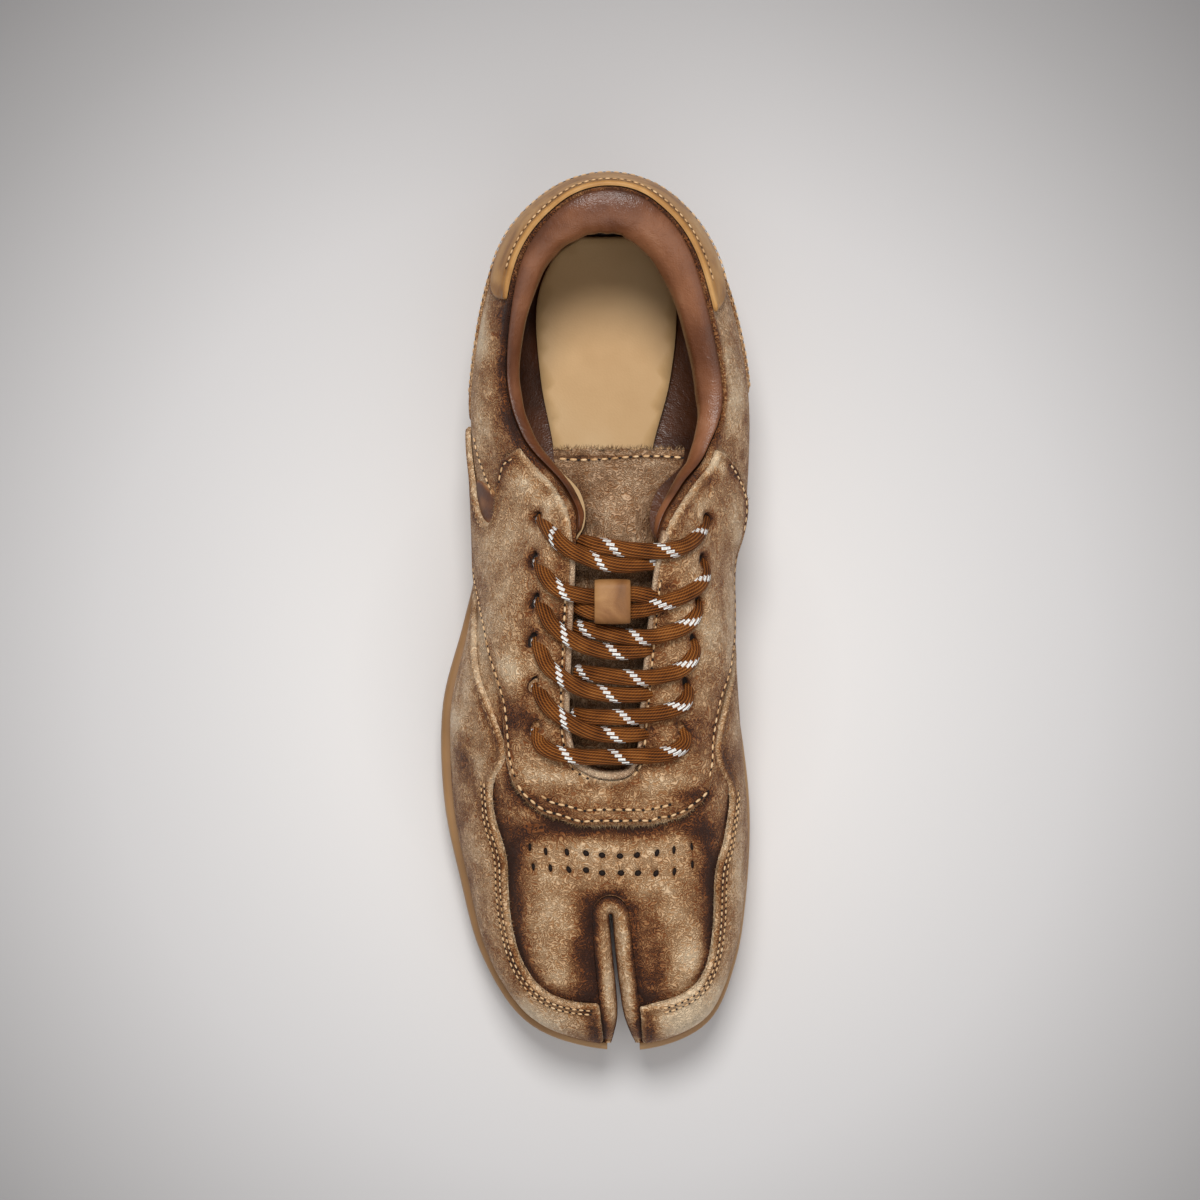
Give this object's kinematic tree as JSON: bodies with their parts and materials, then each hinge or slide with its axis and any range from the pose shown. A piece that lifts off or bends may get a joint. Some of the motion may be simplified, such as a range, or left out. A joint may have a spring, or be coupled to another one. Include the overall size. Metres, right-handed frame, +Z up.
{
  "type": "split-toe lace-up sneaker",
  "caption": "Low lace-up sneaker for the right foot with a split toe, a suede upper, a padded leather collar and a flat gum rubber sole.",
  "frame": {"origin": "centre of the sole's outline, on the floor", "axes": "+Z up, +Y towards the heel, -Y towards the toe, +X towards the inner side of the foot"},
  "size_m": [0.0958, 0.2682, 0.1038],
  "materials": {
    "gum_rubber": "satin",
    "insole_leather": "satin",
    "suede": "napped",
    "tan_leather": "matte",
    "lining_leather": "satin",
    "lace_cord": "woven"
  },
  "bodies": {
    "root": {"sole": "gum_rubber", "insole": "insole_leather", "upper": "suede", "toe_lips": "suede", "guard_outer": "suede", "guard_inner": "suede", "eyestay": "suede", "counter": "suede", "heel_tab": "tan_leather", "collar": "lining_leather", "tongue": "suede", "lace_keeper": "tan_leather", "lace_row_1": "lace_cord", "lace_row_2": "lace_cord", "lace_row_3": "lace_cord", "lace_row_4": "lace_cord", "lace_row_5": "lace_cord", "lace_row_6": "lace_cord"}
  },
  "joints": []
}
